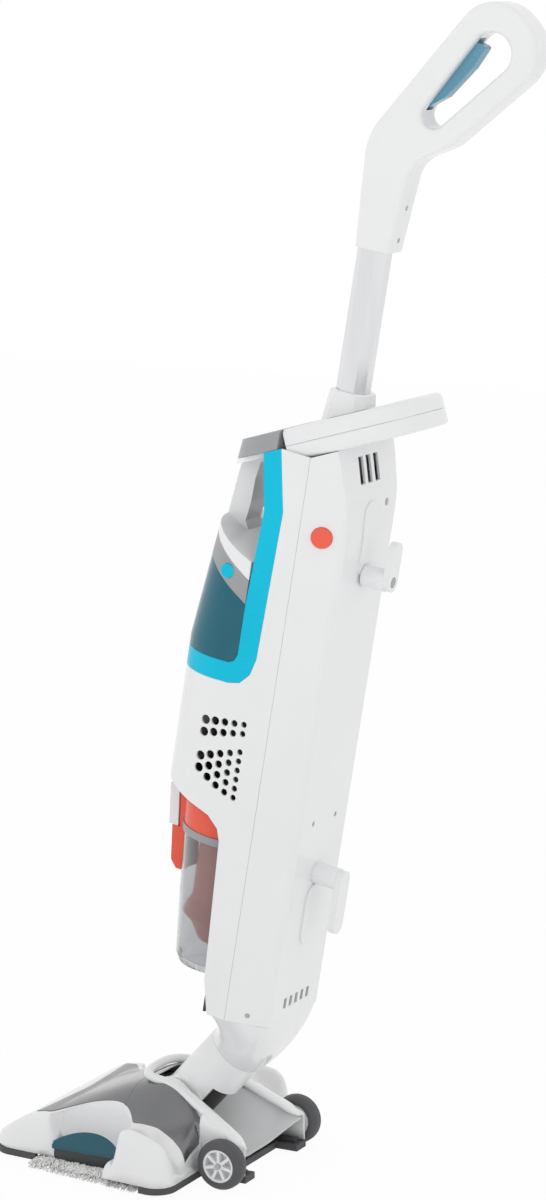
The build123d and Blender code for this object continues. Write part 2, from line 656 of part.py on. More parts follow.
lid_w = cup_band_w + cup_band
foot_round = 12.0
cup = turned([(0, cup_foot_w), (cup_at(cup_foot_w) - foot_round, cup_foot_w),
              (cup_at(cup_foot_w) - 3, cup_foot_w + 4),
              (cup_at(cup_foot_w + foot_round), cup_foot_w + foot_round), (cup_at(lid_w), lid_w),
              (cup_at(lid_w) - cup_wall, lid_w), (cup_at(cup_foot_w + foot_round) - cup_wall,
                                                  cup_foot_w + foot_round),
              (cup_at(cup_foot_w) - foot_round - 1, cup_foot_w + cup_wall), (0, cup_foot_w + cup_wall)],
             cup_v)
nodes["dust_cup"] = BODY * cup
band_thick = 1.2
band_top_w = lid_w - seat_gap
nodes["cup_band"] = BODY * turned([(cup_at(cup_band_w) + run_gap, cup_band_w),
                                   (cup_at(cup_band_w) + band_thick, cup_band_w),
                                   (cup_at(lid_w) + band_thick, band_top_w),
                                   (cup_at(lid_w) + run_gap, band_top_w)], cup_v)
lid = turned([(0, cup_top_w - 3), (cup_at(cup_top_w) - 3, cup_top_w - 3), (cup_at(lid_w) - 3, lid_w + 0.1),
              (cup_at(lid_w), lid_w + 0.1), (cup_at(cup_top_w) - 1, cup_top_w), (0, cup_top_w)], cup_v)
nodes["cup_lid"] = BODY * lid
lid_under = cup_top_w - 3 - seat_gap
bulge = 7.0
cone_w = cyclone_bulge_w + 17
cyclone = turned([(cyclone_radius - 2, lid_under), (cyclone_radius, lid_under), (cyclone_radius, cone_w),
                  (cyclone_radius + bulge, cyclone_bulge_w + 3), (cyclone_radius + bulge, cyclone_bulge_w),
                  (cyclone_radius - 2, cyclone_bulge_w - 9), (22, cyclone_bulge_w - 27),
                  (20, cyclone_bulge_w - 27),
                  (cyclone_radius - 4, cyclone_bulge_w - 7), (cyclone_radius - 2, cone_w)], cup_v)
nodes["cyclone"] = BODY * cyclone
filter_radius = cyclone_radius - 4
filter_bore = 14.0
nodes["cup_filter"] = BODY * turned([(filter_bore, cone_w + 4), (filter_radius, cone_w + 4),
                                     (filter_radius, lid_under), (filter_bore, lid_under)], cup_v)
grip_width = 15.0
grip_stand = 2.0          # the grip's top stands proud of the body by this much
grip_lean = 0.113


def grip_front(w):
    return front_v - grip_stand + (cup_top_w - w) * grip_lean


cup_grip = slab([(grip_front(grip_low + 8), grip_low + 8), (grip_front(grip_low) + 6, grip_low),
                 (cup_v, grip_low),
                 (cup_v, cup_top_w), (grip_front(cup_top_w), cup_top_w)], grip_width)
cup_keep = turned([(0, grip_low - 1), (cup_at(grip_low - 1) + seat_gap, grip_low - 1),
                   (cup_at(cup_band_w) + seat_gap, cup_band_w),
                   (cup_at(cup_band_w) + band_thick + seat_gap, cup_band_w),
                   (cup_at(lid_w) + band_thick + seat_gap, lid_w), (cup_at(lid_w) + seat_gap, lid_w),
                   (cup_at(cup_top_w + 1) + seat_gap, cup_top_w + 1), (0, cup_top_w + 1)], cup_v)
cup_grip = cup_grip - cup_keep
press_stand = 3.6         # the release plate stands proud of the grip
press_depth = 6.5
press_travel = 2.0


def press_face(low, high, front, rear):
    """A plate along the grip's leaning front, between two depths."""
    return slab([(grip_front(low) + front, low), (grip_front(low) + rear, low),
                 (grip_front(high) + rear, high), (grip_front(high) + front, high)], grip_width)


press_room = press_face(press_low - gap, press_high + gap, -far, press_depth + press_travel + gap)
nodes["cup_grip"] = BODY * (cup_grip - press_room)
nodes["cup_release"] = BODY * press_face(press_low, press_high, -press_stand, press_depth)

# Foot of the body, running into the round swivel
foot_points = 40


def ring(sides, power):
    """A rounded outline held by straight sides, each a direction and a distance, as a closed curve."""
    spots = []
    for index in range(foot_points):
        turn = 2 * math.pi * index / foot_points
        near = sum(max(0.0, math.cos(turn - side) / distance) ** power for side, distance in sides)
        reach = near ** (-1 / power)
        spots.append((reach * math.cos(turn), reach * math.sin(turn)))
    return make_face(Spline(*spots, periodic=True))


def four_sides(across, depth):
    return [(0, across), (math.pi, across), (math.pi / 2, depth), (-math.pi / 2, depth)]


foot_front_v = 50.0
foot_middle_v = (foot_front_v + rear_v) / 2
foot_depth = (rear_v - foot_front_v) / 2 - gap
slant = math.atan2(half_width - rear_half, rear_v - seam_v)
slant_reach = half_width * math.cos(slant) + (seam_v - foot_middle_v) * math.sin(slant) - gap
foot_sides = four_sides(half_width - gap, foot_depth) + [(slant, slant_reach),
                                                         (math.pi - slant, slant_reach)]
foot_top = BODY * Pos(0, foot_middle_v, body_foot_w - gap)
foot_end = NECK * Pos(0, 0, neck_length + gap)
foot_bulge = 6.0
middle = (foot_top.position + foot_end.position) / 2
foot_middle = Location((0, middle.Y, middle.Z), (-(lean_angle + neck_angle) / 2, 0, 0)) * Pos(0, foot_bulge,
                                                                                              0)
foot = loft([foot_top * ring(foot_sides, 20), foot_middle * ring(four_sides(48, 33), 3),
             foot_end * ring(four_sides(neck_radius, neck_radius), 2)])
foot_bore = NECK * rod_w(neck_bore - 4, 0, neck_length + 40, 0, 0)
nodes["body_foot"] = foot - foot_bore

# Neck: round arm with a cross knuckle at the tilt hinge, and the black elbow inside
arm = rod_w(neck_radius, 0, neck_length, 0, 0) + rod_x(neck_radius, -knuckle_half, knuckle_half, 0, 0)
arm = arm - rod_w(neck_bore, -far, far, 0, 0)
arm = arm - rod_x(pin_radius + run_gap, -far, far, 0, 0)
arm = arm - block(-far, far, 14, far, -4, 44)
nodes["neck_arm"] = NECK * arm
elbow_wall = 3.0
elbow = rod_w(neck_bore - seat_gap, -16, neck_length - 6, 0, 0) - rod_w(neck_bore - elbow_wall, -far, far,
                                                                        0, 0)
nodes["neck_elbow"] = NECK * elbow

# Floor head: a wedge with a hump at the neck, two rear domes, side coves and a trough to the rear
shell_foot_z = sole_z + 1.2
neck_clear = 2.0
slot_half = knuckle_half + neck_clear
trough_floor_z = hinge_z - neck_radius - neck_clear - 1
trough_grow = 17.0
trough_start_y = hinge_y + 6


def both_sides(points):
    """A half outline given on the left, closed by its mirror image."""
    return points + [(-x, y) for x, y in reversed(points) if x > 0]


def head_plan(inset, low, high):
    """The head's plan outline, inset all round, between two heights."""
    face = make_face(Polyline(*both_sides([(head_front_half - inset, head_front_y + inset),
                                           (head_cove_half - inset, cove_y - notch_half),
                                           (head_dome_half - inset, cove_y + notch_half),
                                           (head_rear_half - inset, head_flank_y - inset),
                                           (head_tail_half - inset, head_flank_y - inset),
                                           (head_tail_half - inset, head_tail_y - inset),
                                           (tail_gap_half + inset, head_tail_y - inset),
                                           (tail_gap_half + inset, tail_lip_y - inset)]), close=True))
    face = fillet(face.vertices().sort_by(Axis.Y)[:2], corner_radius - inset)
    face = fillet(face.vertices().sort_by(Axis.X)[:1] + face.vertices().sort_by(Axis.X)[-1:],
                  flank_round - inset)
    return Pos(0, 0, low) * extrude(face, amount=high - low)


def neck_room(grow):
    """The space that the neck needs, grown by a wall."""
    half = slot_half + grow
    room = rod_x(neck_radius + neck_clear + grow, -half, half, hinge_y, hinge_z)
    room = room + block(-half, half, hinge_y - neck_radius - neck_clear - grow, hinge_y, hinge_z, far)
    room = room + block(-half, half, hinge_y, far, trough_floor_z + neck_radius, far)
    narrow = Plane.XZ.offset(-trough_start_y) * Pos(0, trough_floor_z + slot_half) * Circle(half)
    growth = 3 * trough_grow
    wide = Plane.XZ.offset(-far) * Pos(0, trough_floor_z + slot_half + growth) * Circle(half + growth)
    return room + loft([narrow, wide])


def head_form(inset):
    """The head's outer form above the skirt, inset all round."""
    low = shell_foot_z if inset == 0 else 0
    flank = slab([(head_front_y, low), (head_front_y, nose_z - inset), (crest_y, crest_z - inset),
                  (crest_y + 14, flank_z - 2 - inset), (0, flank_z - inset),
                  (head_flank_y, flank_z - 10 - inset),
                  (head_tail_y, tail_z - 6 - inset), (head_tail_y, low)], far)
    hump = slab([(crest_y, low), (crest_y, crest_z - inset), (-30, 66 - inset), (14, 81 - inset),
                 (hump_y - 16, hump_z - 3 - inset), (hump_y, hump_z - inset),
                 (hump_y + 36, hump_z - 14 - inset),
                 (head_tail_y - 18, tail_z + 13 - inset), (head_tail_y, tail_z - inset),
                 (head_tail_y, low)], far)
    front_view = both_sides([(102 - inset, low), (102 - inset, 40 - inset), (56 - inset, 72 - inset),
                             (42, far)])
    hump = hump & extrude(Plane.XZ * make_face(Polyline(*front_view, close=True)), amount=far, both=True)
    form = (flank + hump) & head_plan(inset, low, far)
    dome = rod_w(dome_radius - inset, low, dome_z - inset, dome_x, dome_y)
    dome = fillet(dome.edges().group_by(Axis.Z)[-1], dome_radius - inset - 6)
    cove = rod_v(cove_radius + inset, cove_y - cove_half - inset, cove_y + cove_half + inset, cove_x, cove_z)
    cove = fillet(cove.edges(), 30)
    notch = block(notch_x - inset, far, cove_y - notch_half - inset, cove_y + notch_half + inset, -1, cove_z)
    cuts = cove + notch
    return form + dome + mirror(dome, Plane.YZ) - cuts - mirror(cuts, Plane.YZ) - neck_room(inset)


head_outer = head_form(0)
head_shell = head_outer - head_form(wall)
panel_outline = both_sides([(50, -69), (96, -75), (101, -68), (88, -52), (66, -32), (61, -10), (66, 12),
                            (78, 27),
                            (86, 42), (84, 62), (88, 84), (92, 101), (62, 101), (52, 84), (47, 60), (44, 40),
                            (40, 22), (30, 12)])
panel_face = make_face(Polyline(*panel_outline, close=True))
panel_skin = head_outer - head_form(panel_thick)
panel_pocket = head_outer - head_form(panel_thick + gap / 2)
nodes["head_panel"] = panel_skin & extrude(panel_face, amount=far)
head_shell = head_shell - (panel_pocket & extrude(offset(panel_face, amount=gap), amount=far))
axle_inner_x = head_tail_half - 14
axle_outer_x = wheel_x + wheel_width / 2 + 1.5
axle_pin = rod_x(axle_radius, axle_inner_x, axle_outer_x, axle_y, wheel_radius)
bracket_x = slot_half + wall + gap
bracket_thick = 7.0
pin_inner_x = neck_bore + 0.5
hinge_pin = rod_x(pin_radius, pin_inner_x, bracket_x + bracket_thick, hinge_y, hinge_z)
pin_clear = rod_x(pin_radius + gap, pin_inner_x, bracket_x + bracket_thick, hinge_y, hinge_z)
axle_clear = rod_x(axle_radius + run_gap, axle_inner_x - gap, axle_outer_x, axle_y, wheel_radius)
for pin in (axle_clear, pin_clear):
    head_shell = head_shell - pin - mirror(pin, Plane.YZ)
base_top_z = sole_z + base_thick
skirt_width = 5.0
head_shell = head_shell - head_plan(skirt_width, 0, base_top_z + seat_gap)
duct_half = 18.0
duct_low = base_top_z + 11.2
duct_rear_y = hinge_y - neck_radius - neck_clear
head_shell = head_shell - block(2 - duct_half, duct_half - 2, duct_rear_y, hinge_y, duct_low + 2,
                                duct_low + 18)
nodes["head_shell"] = head_shell
nodes["axle_pins"] = mirrored(axle_pin)
nodes["hinge_pins"] = mirrored(hinge_pin)
bracket = block(bracket_x, bracket_x + bracket_thick, hinge_y - 11, trough_start_y - 1,
                base_top_z + seat_gap, hinge_z + 10)
bracket = bracket - rod_x(pin_radius + run_gap, 0, far, hinge_y, hinge_z)
nodes["hinge_brackets"] = mirrored(bracket)

# Base plate with the suction mouth, rubber skirt, steam plate, duct and windows
mouth_half = 62.0
mouth = block(-mouth_half, mouth_half, head_front_y + 14, head_front_y + 36, 0, far)
base_plate = head_plan(skirt_width + gap, sole_z, base_top_z) - mouth
ledge = block(notch_x + gap, notch_x + 16, cove_y - notch_half + 3, cove_y + notch_half - 3, sole_z,
              sole_z + 12)
bare = block(notch_x + 16, far, cove_y - notch_half, cove_y + notch_half, 0, far)
base_plate = base_plate + ledge + mirror(ledge, Plane.YZ) - bare - mirror(bare, Plane.YZ)
base_plate = base_plate - neck_room(wall + gap)
nodes["base_plate"] = base_plate
skirt = head_plan(0, 3.0, shell_foot_z - gap) - head_plan(skirt_width, 0, far)
skirt = skirt - block(-far, far, pad_front_y - 1, pad_rear_y + 1, 0, far)
nodes["head_skirt"] = skirt
plate_half = 76.0
nodes["steam_plate"] = block(-plate_half, plate_half, -62, 12, base_top_z + 0.1, base_top_z + 11)
mouth_y = head_front_y + 36
duct_side = [(duct_rear_y, duct_low), (duct_rear_y, duct_low + 20), (-66, duct_low + 16),
             (head_front_y + 16, base_top_z + 4),
             (head_front_y + 16, base_top_z + 0.1), (mouth_y, base_top_z + 0.1), (-64, duct_low)]
duct_room = [(duct_rear_y + 1, duct_low + 2), (duct_rear_y + 1, duct_low + 18), (-65, duct_low + 14),
             (head_front_y + 19, base_top_z + 2.5),
             (head_front_y + 19, 0), (mouth_y - 3, 0), (-66, duct_low + 2)]
nodes["nozzle_duct"] = slab(duct_side, duct_half) - slab(duct_room, duct_half - 2)
window_low = sole_z + 12.1
window_out = notch_x + 17
window_side = [(notch_x + gap, window_low), (window_out, window_low), (window_out, window_low + 4),
               (notch_x + gap, window_low + 17)]
window_room = [(notch_x - 1, window_low - 1), (window_out - 2, window_low - 1),
               (window_out - 2, window_low + 2.6),
               (notch_x - 1, window_low + 15.4)]
window_half = notch_half - gap


def along_y(points, half):
    """An outline in (x, z), carried to front and rear."""
    return extrude(Plane.XZ * make_face(Polyline(*points, close=True)), amount=half, both=True)


window_bow = window_out - notch_x - gap - 4     # depth of the arched back
window_arc = (window_half ** 2 + window_bow ** 2) / (2 * window_bow)
arc_x = notch_x + gap + window_arc
window = along_y(window_side, window_half) & rod_w(window_arc, 0, far, arc_x, 0)
window = window - (along_y(window_room, window_half - 2) & rod_w(window_arc - 2, 0, far, arc_x, 0))
nodes["edge_windows"] = mirrored(Pos(0, cove_y, 0) * window)

# Mop pad under the base plate
pad_face = make_face(Polyline(*both_sides([(pad_front_half, pad_front_y), (pad_rear_half, pad_rear_y)]),
                              close=True))
nodes["mop_pad"] = extrude(fillet(pad_face.vertices(), 14), amount=sole_z - 0.1)

# Wheels: rounded tyre on a spoked hub
half_wheel = wheel_width / 2
tyre_outline = Rectangle(wheel_width, wheel_radius - hub_radius)
tyre_outline = fillet(tyre_outline.vertices().sort_by(Axis.Y)[-2:], tyre_round)
tyre = revolve(Pos(0, (wheel_radius + hub_radius) / 2) * tyre_outline, Axis.X)
hub = rod_x(hub_radius - 0.05, -half_wheel + 1, half_wheel - 1, 0, 0)
hub_rim = 2.4
boss_radius = 5.0
recess = rod_x(hub_radius - hub_rim, 0, half_wheel, 0, 0) - rod_x(boss_radius, 0, half_wheel, 0, 0)
for index in range(hub_spokes):
    spoke = block(0, half_wheel, -1.5, 1.5, 0, hub_radius)
    recess = recess - Rot(360 / hub_spokes * index, 0, 0) * spoke
hub = hub - recess - rod_x(axle_radius + run_gap, -far, far, 0, 0)
WHEEL = Pos(wheel_x, axle_y, wheel_radius)
nodes["tyre_left"] = WHEEL * tyre
nodes["hub_left"] = WHEEL * hub
nodes["tyre_right"] = mirror(WHEEL * tyre, Plane.YZ)
nodes["hub_right"] = mirror(WHEEL * hub, Plane.YZ)

os.makedirs("parts", exist_ok=True)
for name, shape in nodes.items():
    export_step(shape, f"parts/{name}.step")
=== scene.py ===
import math
import bpy
import numpy as np
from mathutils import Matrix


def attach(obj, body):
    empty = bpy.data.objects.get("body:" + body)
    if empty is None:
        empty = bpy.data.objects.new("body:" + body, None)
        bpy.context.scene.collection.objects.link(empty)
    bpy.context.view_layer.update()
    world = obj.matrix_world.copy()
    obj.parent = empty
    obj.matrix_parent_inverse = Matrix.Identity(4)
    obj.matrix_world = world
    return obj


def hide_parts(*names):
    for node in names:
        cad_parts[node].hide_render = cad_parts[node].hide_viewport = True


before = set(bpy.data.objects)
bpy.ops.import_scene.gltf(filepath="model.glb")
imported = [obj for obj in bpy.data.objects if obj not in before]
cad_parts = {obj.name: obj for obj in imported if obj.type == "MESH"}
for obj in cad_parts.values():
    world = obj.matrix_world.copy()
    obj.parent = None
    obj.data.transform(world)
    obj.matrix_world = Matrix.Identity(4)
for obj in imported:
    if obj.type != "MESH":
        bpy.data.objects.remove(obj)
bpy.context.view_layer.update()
scene = bpy.context.scene
scene.view_settings.view_transform = "Standard"
print("frame loaded:", len(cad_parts), "nodes")

mm = 0.001
leanAngle = math.radians(9.5)  # the parked body leans back


def meshObject(name, verts, faces):
    # a smooth object from points in metres and their quads
    mesh = bpy.data.meshes.new(name)
    mesh.from_pydata(verts.tolist(), [], faces.tolist())
    mesh.polygons.foreach_set("use_smooth", np.ones(len(mesh.polygons), dtype=bool))
    mesh.update()
    piece = bpy.data.objects.new(name, mesh)
    scene.collection.objects.link(piece)
    return piece


def gridObject(name, points, wrapCols=False, keep=None, flip=False):
    # a grid of points in millimetres, rows by columns, joined by quads;
    # keep says which quads stay and flip turns them over
    rows, cols = points.shape[:2]
    quadCols = cols if wrapCols else cols - 1
    r, c = np.meshgrid(np.arange(rows - 1), np.arange(quadCols), indexing="ij")
    here = r * cols + c
    beside = r * cols + (c + 1) % cols
    quads = np.stack([here, beside, beside + cols, here + cols], axis=-1).reshape(-1, 4)
    if keep is not None:
        quads = quads[keep.reshape(-1)]
    if flip:
        quads = quads[:, ::-1]
    used, faces = np.unique(quads, return_inverse=True)
    return meshObject(name, points.reshape(-1, 3)[used] * mm, faces.reshape(-1, 4))


def allCorners(mask):
    # the quads of a grid that have all four corners in the mask
    return mask[:-1, :-1] & mask[1:, :-1] & mask[:-1, 1:] & mask[1:, 1:]


def tubeAlong(path, wide, tall, sides):
    # rings of an oval, so wide and so tall, carried along a path; the side vector is kept level
    along = np.gradient(path, axis=0)
    along /= np.linalg.norm(along, axis=1, keepdims=True)
    side = np.cross(along, np.array([0.0, 0.0, 1.0]))
    side /= np.linalg.norm(side, axis=1, keepdims=True)
    rise = np.cross(side, along)
    turn = np.linspace(0, 2 * np.pi, sides, endpoint=False)
    across = wide[:, None, None] * np.cos(turn)[None, :, None] * side[:, None]
    up = tall[:, None, None] * np.sin(turn)[None, :, None] * rise[:, None]
    return path[:, None] + across + up


def smoothStep(t):
    t = np.clip(t, 0, 1)
    return t * t * (3 - 2 * t)


def softLine(at, places, values, width, samples=15):
    # straight runs between places, averaged over a sliding window to round their corners
    offsets = np.linspace(-width, width, samples)
    weight = np.cos(offsets / width * np.pi / 2)
    spread = np.interp(np.asarray(at)[..., None] + offsets, places, values)
    return (spread * weight).sum(-1) / weight.sum()


def catmull(points, count):
    # a smooth line through a few points, sampled evenly by parameter
    p = np.vstack([2 * points[0] - points[1], points, 2 * points[-1] - points[-2]])
    t = np.linspace(0, len(points) - 1 - 1e-6, count)
    i = t.astype(int)
    f = (t - i)[:, None]
    a, b, c, d = p[i], p[i + 1], p[i + 2], p[i + 3]
    square = (2 * a - 5 * b + 4 * c - d) * f ** 2
    cube = (3 * b - a - 3 * c + d) * f ** 3
    return 0.5 * (2 * b + (c - a) * f + square + cube)


# finishes: what each kind of surface has in common; a noise is a scale and a detail
texture = {
    "moulded": {"drift": (7.0, 3.0), "gloss": (38.0, 4.0), "grainDetail": 2.0, "bump": 0.0002},
    "clear": {"drift": (14.0, 3.0), "gloss": (60.0, 2.0), "rough": (0.04, 0.1), "shade": 0.9,
              "ior": 1.46},
    "drawn": {"lines": (60.0, 4.0), "shade": 0.9, "depth": 0.08, "bump": 0.0001},
    "pile": {"detail": 4.0, "shade": 0.72, "ends": (0.3, 0.62), "depth": 0.8, "bump": 0.001,
             "rough": 0.95, "sheen": 0.4},
}


def startMaterial(name):
    material = bpy.data.materials.new(name)
    material.use_nodes = True
    tree = material.node_tree
    return material, tree, tree.nodes["Principled BSDF"]


def addNode(tree, kind, **settings):
    node = tree.nodes.new(kind)
    for key, value in settings.items():
        if key in node.inputs:
            node.inputs[key].default_value = value
        else:
            setattr(node, key, value)
    return node


def setInputs(node, values):
    for key, value in values.items():
        node.inputs[key].default_value = value


def noiseOn(tree, scale, detail=2.0, stretch=(1, 1, 1), turn=(0, 0, 0)):
    place = addNode(tree, "ShaderNodeTexCoord")
    mapping = addNode(tree, "ShaderNodeMapping", Scale=stretch, Rotation=turn)
    noise = addNode(tree, "ShaderNodeTexNoise", Scale=scale, Detail=detail)
    tree.links.new(place.outputs["Object"], mapping.inputs["Vector"])
    tree.links.new(mapping.outputs["Vector"], noise.inputs["Vector"])
    return noise.outputs["Fac"]


def spreadInto(tree, shader, socket, source, low, high, ends=(0.35, 0.65)):
    # a noise spreads a number or a colour between two values, into one input of the shader
    node = addNode(tree, "ShaderNodeValToRGB")
    for element, place, value in zip(node.color_ramp.elements, ends, (low, high)):
        element.position = place
        element.color = (*value, 1) if isinstance(value, tuple) else (value, value, value, 1)
    tree.links.new(source, node.inputs["Fac"])
    tree.links.new(node.outputs["Color"], shader.inputs[socket])


def darker(colour, share):
    return tuple(v * share for v in colour)


def bumpFrom(tree, shader, source, strength, distance):
    bump = addNode(tree, "ShaderNodeBump", Strength=strength, Distance=distance)
    tree.links.new(source, bump.inputs["Height"])
    tree.links.new(bump.outputs["Normal"], shader.inputs["Normal"])


def moulded(name, colour, rough, shade, grain=900, depth=0.04, metal=0.0, coat=0.0, shine=0.5,
            stretch=(1, 1, 1)):
    # moulded plastic: slow colour drift, uneven gloss and a fine mould grain
    k = texture["moulded"]
    material, tree, shader = startMaterial(name)
    drift = noiseOn(tree, *k["drift"])
    spreadInto(tree, shader, "Base Color", drift, darker(colour, shade), colour)
    spreadInto(tree, shader, "Roughness", noiseOn(tree, *k["gloss"], stretch), *rough)
    bumpFrom(tree, shader, noiseOn(tree, grain, k["grainDetail"], stretch), depth, k["bump"])
    setInputs(shader, {"Metallic": metal, "Coat Weight": coat, "Specular IOR Level": shine})
    return material


def clearPlastic(name, colour, transmission):
    # tinted clear plastic: faint flow marks in colour and gloss
    k = texture["clear"]
    material, tree, shader = startMaterial(name)
    drift = noiseOn(tree, *k["drift"])
    spreadInto(tree, shader, "Base Color", drift, darker(colour, k["shade"]), colour)
    spreadInto(tree, shader, "Roughness", noiseOn(tree, *k["gloss"]), *k["rough"])
    setInputs(shader, {"Transmission Weight": transmission, "IOR": k["ior"]})
    return material


def drawnMetal(name, colour, stretch, turn=(0, 0, 0), rough=(0.26, 0.4)):
    # drawn or turned metal: fine lines along one direction
    k = texture["drawn"]
    material, tree, shader = startMaterial(name)
    lines = noiseOn(tree, *k["lines"], stretch, turn)
    spreadInto(tree, shader, "Base Color", lines, darker(colour, k["shade"]), colour)
    spreadInto(tree, shader, "Roughness", lines, *rough)
    bumpFrom(tree, shader, lines, k["depth"], k["bump"])
    setInputs(shader, {"Metallic": 1.0})
    return material


def wovenPile(name, colour, scale):
    # microfibre: clumped pile with soft sheen
    k = texture["pile"]
    material, tree, shader = startMaterial(name)
    clumps = noiseOn(tree, scale, k["detail"])
    spreadInto(tree, shader, "Base Color", clumps, darker(colour, k["shade"]), colour, k["ends"])
    bumpFrom(tree, shader, clumps, k["depth"], k["bump"])
    setInputs(shader, {"Roughness": k["rough"], "Sheen Weight": k["sheen"]})
    return material


finishes = {
    "white": moulded("glossWhite", (0.88, 0.885, 0.89), (0.16, 0.26), 0.975, coat=0.3),
    "cyan": moulded("cyanGloss", (0.0, 0.57, 0.80), (0.2, 0.3), 0.93, shine=0.2),
    "coral": moulded("coralGloss", (0.95, 0.14, 0.09), (0.2, 0.32), 0.92, shine=0.2),
    "grey": moulded("greySatin", (0.36, 0.37, 0.38), (0.3, 0.42), 0.93),
    "blue": moulded("triggerBlue", (0.12, 0.36, 0.50), (0.22, 0.34), 0.85, coat=0.2),
    "panel": moulded("panelMetallic", (0.19, 0.192, 0.2), (0.2, 0.28), 0.88, grain=2600,
                     depth=0.05, metal=0.7, coat=0.4),
    "paleGrey": moulded("troughGrey", (0.70, 0.705, 0.71), (0.3, 0.42), 0.94),
    # partly painted shade: these parts are dark, and are kept near black so that they also stand
    # for the shade inside the head's slot and beneath the windows
    "inner": moulded("innerDarkShade", (0.05, 0.052, 0.055), (0.45, 0.6), 0.8, depth=0.1),
    "black": moulded("hingeBlackShade", (0.008, 0.008, 0.009), (0.35, 0.5), 0.7, depth=0.08),
    "teal": clearPlastic("tealClear", (0.0, 0.17, 0.25), 0.3),
    "window": clearPlastic("windowTeal", (0.005, 0.12, 0.18), 0.25),
    "cyclone": moulded("coralPale", (1.0, 0.34, 0.28), (0.25, 0.4), 0.93, shine=0.2),
    "smoke": clearPlastic("smokeClear", (0.72, 0.735, 0.75), 0.92),
    "tube": drawnMetal("anodisedTube", (0.84, 0.845, 0.86), (1.0, 1.0, 0.03), (leanAngle, 0, 0)),
    "steel": drawnMetal("screwSteel", (0.45, 0.46, 0.48), (1, 1, 1), rough=(0.3, 0.45)),
    "cast": drawnMetal("castPlate", (0.5, 0.5, 0.51), (1, 0.2, 1), rough=(0.4, 0.55)),
    "copper": moulded("motorCopper", (0.30, 0.12, 0.05), (0.35, 0.5), 0.6, grain=300, depth=0.5,
                      metal=0.8, stretch=(1, 1, 6)),
    "board": moulded("boardGreen", (0.02, 0.12, 0.04), (0.3, 0.5), 0.7),
    "filter": wovenPile("filterPleats", (0.72, 0.71, 0.68), 90.0),
    "rubber": moulded("softRubber", (0.075, 0.076, 0.08), (0.6, 0.75), 0.8, grain=500, depth=0.2),
    "tyre": moulded("tyreRubber", (0.085, 0.086, 0.09), (0.5, 0.66), 0.8, grain=420, depth=0.22),
    "pile": wovenPile("microfibrePile", (0.93, 0.93, 0.92), 420.0),
}
wears = {
    "white": ["front_casing", "vent_panels", "rear_cover", "cord_hook_upper", "cord_hook_lower",
              "deck_upper", "deck_lower", "tube_collar", "handle_left", "handle_right",
              "tank_top", "tank_plate", "body_foot", "neck_arm", "head_shell", "hub_left",
              "hub_right", "cup_release"],
    "cyan": ["tank_frame", "tank_strip", "tank_button"],
    "coral": ["cup_grip", "cup_lid", "power_button"],
    "cyclone": ["cyclone"],
    "grey": ["tank_cap", "tank_band", "cup_band"],
    "blue": ["trigger"],
    "panel": ["head_panel"],
    # partly painted shade: the inner and black finishes also stand for the shade inside the head
    "inner": ["tank_cradle", "water_pump", "motor_housing", "cup_bay", "suction_duct",
              "nozzle_duct", "base_plate", "tube_socket"],
    "black": ["neck_elbow", "hinge_brackets"],
    "teal": ["water_tank"],
    "window": ["edge_windows"],
    "smoke": ["dust_cup"],
    "tube": ["handle_tube"],
    "cast": ["steam_plate", "boiler", "impeller"],
    "steel": ["case_screws", "hook_screw", "hinge_pins", "axle_pins", "button_spring"],
    "copper": ["motor_core"],
    "board": ["circuit_board"],
    "filter": ["cup_filter"],
    "rubber": ["motor_seat", "head_skirt"],
    "tyre": ["tyre_left", "tyre_right"],
    "pile": ["mop_pad"],
}
for finish, names in wears.items():
    for nodeName in names:
        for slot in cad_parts[nodeName].material_slots:
            slot.material = finishes[finish]
print("finishes on", sum(len(names) for names in wears.values()), "nodes")


def dress(piece, finish, wall=0.0):
    # a finish, and a wall laid inwards from the surface where the piece is a sheet
    piece.data.materials.append(finishes[finish])
    if wall:
        thick = piece.modifiers.new("wall", "SOLIDIFY")
        thick.thickness = wall * mm
        thick.offset = -1


# floor head skin: its plan and edges, its coves at the sides, and the slot for the neck
headSkin = {
    "front": -128.0, "rear": 102.0, "low": 10.4, "wall": 2.0,
    "flankY": [-128, -48, 28, 102], "flankX": [97, 103, 136, 143],
    "corner": 26.0, "flankRound": 22.0,
    "frontShoulder": 7.0, "rearShoulder": 15.0, "noseRound": 7.0, "rearRound": 10.0,
    "roundPower": 2.4, "tailHalf": 62.0, "tailFade": 6.0,
    "notchX": 90.0, "notchY": (-48.0, 28.0), "notchEdge": 0.3, "notchSlack": 0.1,
    "slotFront": 22.0, "slotHalf": 33.5, "slotGrow": 0.42, "slotBend": 60.0,
    "coveX": 145.0, "coveY": -14.0, "coveReach": 84.0, "coveAhead": 46.0, "coveBehind": 58.0,
    "coveFloor": 24.0, "covePower": 2.5, "coveWall": 0.22,
    "step": 1.6, "noseRows": 14, "noseReach": 6.0, "noseCrowd": 1.5,
    "coreCols": 57, "rimCols": 24, "rimCrowd": 1.8, "rimStart": 0.006, "rimLeast": 1.0,
    # heights, by the distance ahead of the datum
    "datum": 134.0, "tip": 262.0,
    "spineZ": 12.0, "climb": 80.0, "climbLong": 174.0, "climbPower": 0.72,
    "drop": 56.0, "dropFrom": 88.0, "dropLong": 120.0, "spineHalf": 66.0,
    "wedgeZ": 19.0, "wedgeSlope": 0.68,
    "flankZ": 53.0, "flankDrop": 12.0, "flankFrom": 95.0, "flankLong": 90.0, "blend": 4.0,
    "dome": 13.0, "domeAt": 64.0, "domeLong": 30.0, "domeX": 134.0, "domeWide": 20.0,
    "valley": 18.0, "valleyFrom": 84.0, "valleyLong": 50.0, "valleyX": 108.0, "valleyWide": 15.0,
}


